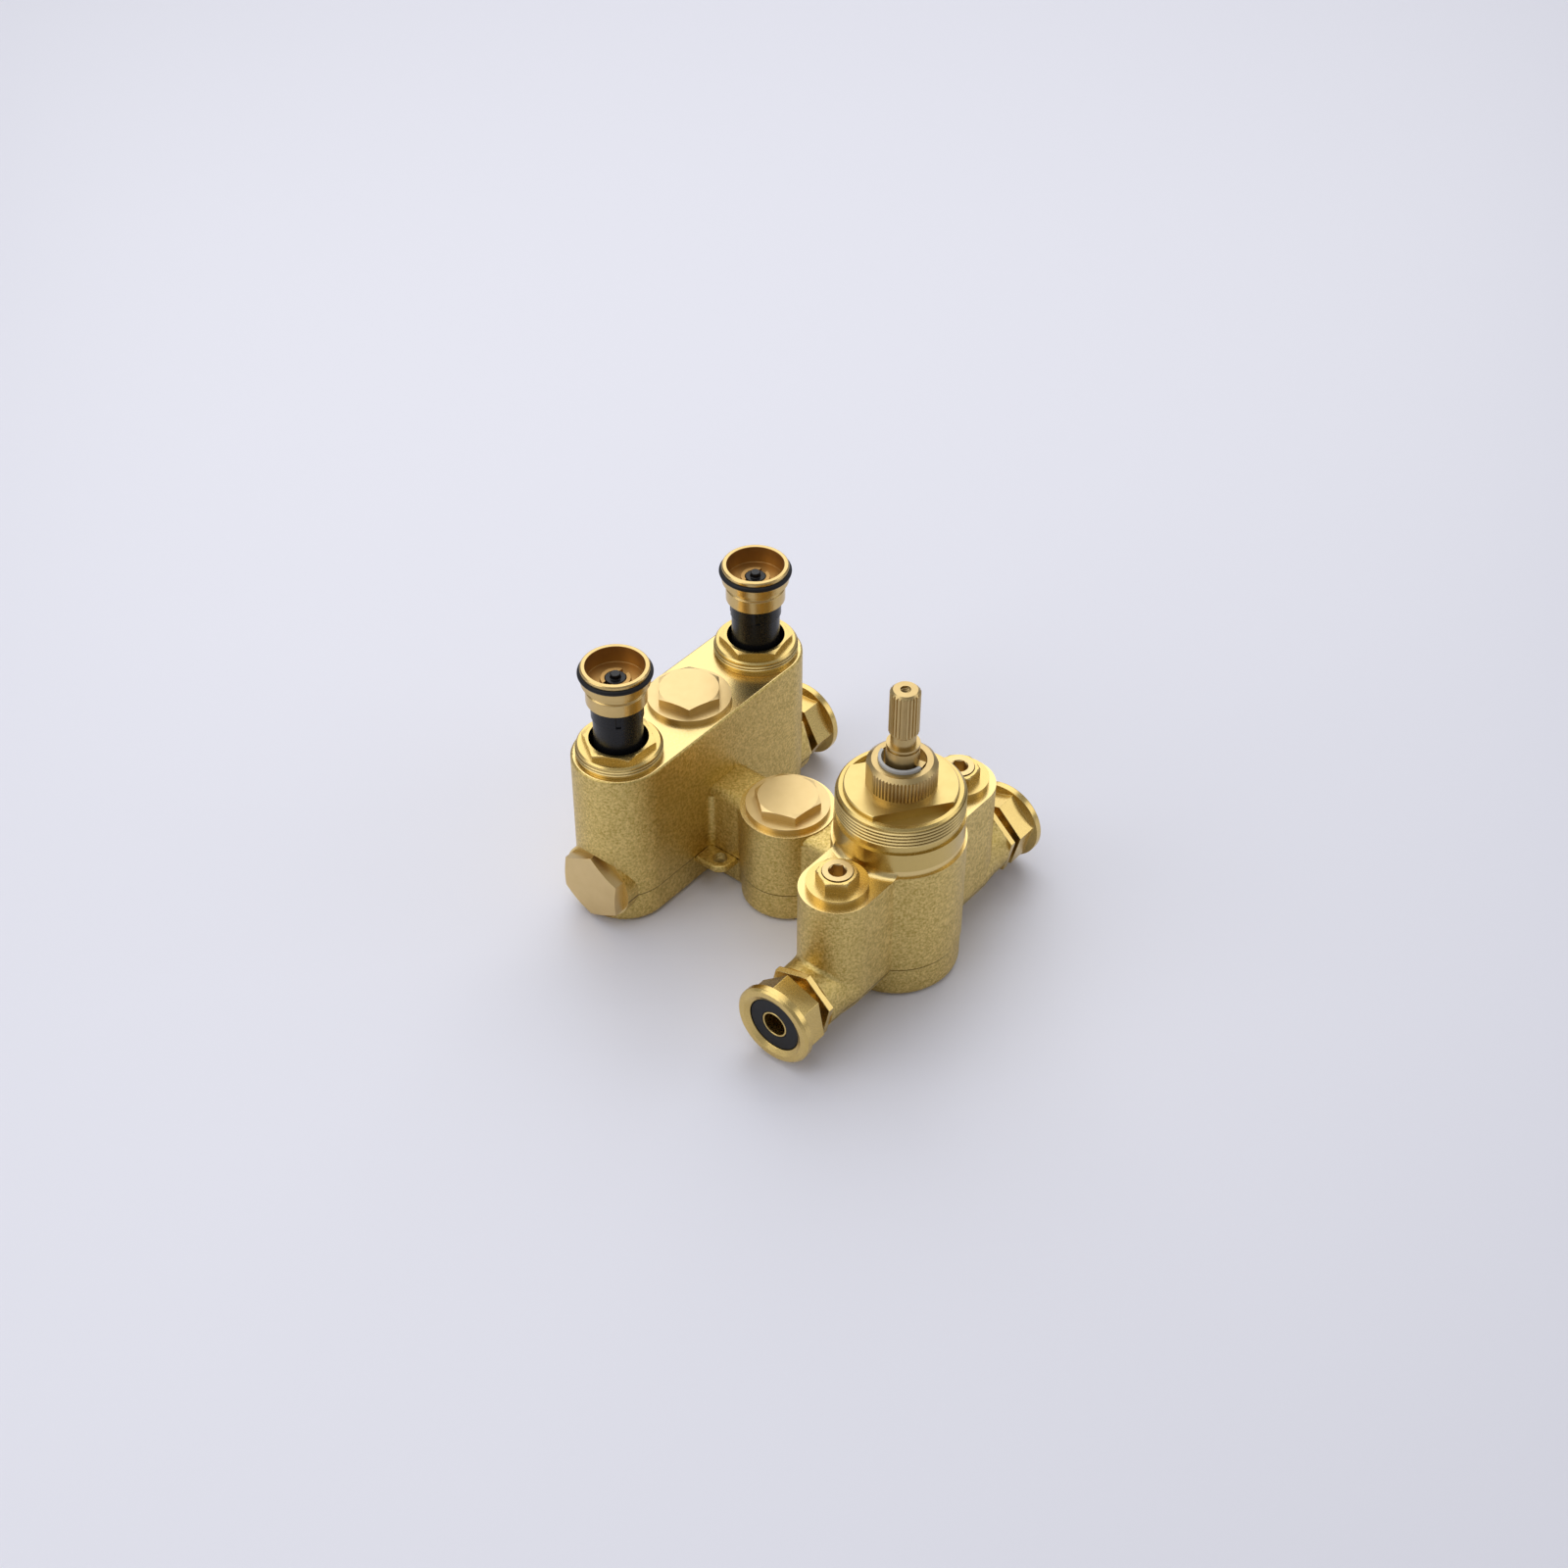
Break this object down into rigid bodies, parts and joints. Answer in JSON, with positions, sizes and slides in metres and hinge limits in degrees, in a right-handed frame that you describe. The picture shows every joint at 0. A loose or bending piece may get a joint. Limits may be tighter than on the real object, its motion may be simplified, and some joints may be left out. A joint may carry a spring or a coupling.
{
  "type": "concealed shower mixing valve",
  "caption": "Cast brass concealed shower valve lying on its back: splined temperature spindle, key stops on both inlets, rear manifold block with push cartridges.",
  "frame": {"origin": "on the flat back, under the axis of the temperature spindle", "axes": "+Z out of the wall along the spindle, +X along the inlets, +Y from the chamber to the rear block"},
  "size_m": [0.1606, 0.1573, 0.1396],
  "materials": {
    "cast_brass": "sand-cast, machined on the faces",
    "brass": "turned and bright",
    "rubber": "matt black",
    "black_plastic": "moulded, satin",
    "white_plastic": "moulded, smooth",
    "steel": "drawn spring wire"
  },
  "bodies": {
    "valve": {"valve_body": "cast_brass", "rear_plug": "brass", "rear_plug_gasket": "rubber", "middle_plug": "brass", "middle_plug_gasket": "rubber", "end_plug": "brass", "end_plug_gasket": "rubber", "chamber_cover": "brass", "chamber_seal": "rubber", "spindle_gland": "brass", "spindle_seal": "rubber", "stop_ring": "white_plastic", "cartridge_sleeve": "black_plastic", "spool_spring": "steel", "left_cartridge_nut": "brass", "left_cartridge_body": "black_plastic", "left_cartridge_seal": "rubber", "left_button_spring": "steel", "left_stop_bonnet": "brass", "right_cartridge_nut": "brass", "right_cartridge_body": "black_plastic", "right_cartridge_seal": "rubber", "right_button_spring": "steel", "right_stop_bonnet": "brass", "left_inlet_tail": "brass", "left_inlet_washer": "rubber", "right_inlet_tail": "brass", "right_inlet_washer": "rubber", "outlet_tail": "brass", "outlet_washer": "rubber"},
    "left_button": {"left_push_rod": "black_plastic", "left_valve_disc": "rubber", "left_button_cup": "brass", "left_cup_ring": "rubber"},
    "right_button": {"right_push_rod": "black_plastic", "right_valve_disc": "rubber", "right_button_cup": "brass", "right_cup_ring": "rubber"},
    "temperature_spindle": {"temperature_spindle": "brass"},
    "mixing_train": {"drive_nut": "brass", "wax_element": "brass", "mixing_spool": "black_plastic"},
    "left_stop_spindle": {"left_stop_spindle": "brass", "left_stop_seal": "rubber"},
    "left_stop_jumper": {"left_stop_jumper": "brass"},
    "right_stop_spindle": {"right_stop_spindle": "brass", "right_stop_seal": "rubber"},
    "right_stop_jumper": {"right_stop_jumper": "brass"},
    "left_inlet_nut": {"left_inlet_union_nut": "brass"},
    "right_inlet_nut": {"right_inlet_union_nut": "brass"},
    "outlet_nut": {"outlet_union_nut": "brass"}
  },
  "joints": [
    {"name": "left_button_press", "type": "slide", "parent": "valve", "child": "left_button", "axis": [0, 0, -1], "range_m": [0, 0.0045], "stiffness_N_per_m": 1200, "springref_m": -0.004, "deforming": ["left_button_spring"]},
    {"name": "right_button_press", "type": "slide", "parent": "valve", "child": "right_button", "axis": [0, 0, -1], "range_m": [0, 0.0045], "stiffness_N_per_m": 1200, "springref_m": -0.004, "deforming": ["right_button_spring"]},
    {"name": "temperature_turn", "type": "hinge", "parent": "valve", "child": "temperature_spindle", "pos_m": [0, 0, 0.1], "axis": [0, 0, 1], "range_deg": [0, 164]},
    {"name": "mixing_travel", "type": "slide", "parent": "valve", "child": "mixing_train", "axis": [0, 0, -1], "range_m": [0, 0.0026], "deforming": ["spool_spring"]},
    {"name": "left_stop_turn", "type": "hinge", "parent": "valve", "child": "left_stop_spindle", "pos_m": [-0.04, 0, 0.06], "axis": [0, 0, -1], "range_deg": [0, 720]},
    {"name": "left_stop_close", "type": "slide", "parent": "valve", "child": "left_stop_jumper", "axis": [0, 0, -1], "range_m": [0, 0.0032]},
    {"name": "right_stop_turn", "type": "hinge", "parent": "valve", "child": "right_stop_spindle", "pos_m": [0.04, 0, 0.06], "axis": [0, 0, -1], "range_deg": [0, 720]},
    {"name": "right_stop_close", "type": "slide", "parent": "valve", "child": "right_stop_jumper", "axis": [0, 0, -1], "range_m": [0, 0.0032]},
    {"name": "left_inlet_nut_turn", "type": "hinge", "parent": "valve", "child": "left_inlet_nut", "pos_m": [-0.0705, 0, 0.0195], "axis": [-1, 0, 0], "continuous": true},
    {"name": "right_inlet_nut_turn", "type": "hinge", "parent": "valve", "child": "right_inlet_nut", "pos_m": [0.0705, 0, 0.0195], "axis": [1, 0, 0], "continuous": true},
    {"name": "outlet_nut_turn", "type": "hinge", "parent": "valve", "child": "outlet_nut", "pos_m": [0.0705, 0.11, 0.018], "axis": [1, 0, 0], "continuous": true}
  ],
  "couplings": [
    {"joint": "temperature_turn", "follows": "mixing_travel", "rad_per_m": 1100.8},
    {"joint": "left_stop_turn", "follows": "left_stop_close", "rad_per_m": 3926.9},
    {"joint": "right_stop_turn", "follows": "right_stop_close", "rad_per_m": 3926.9}
  ]
}
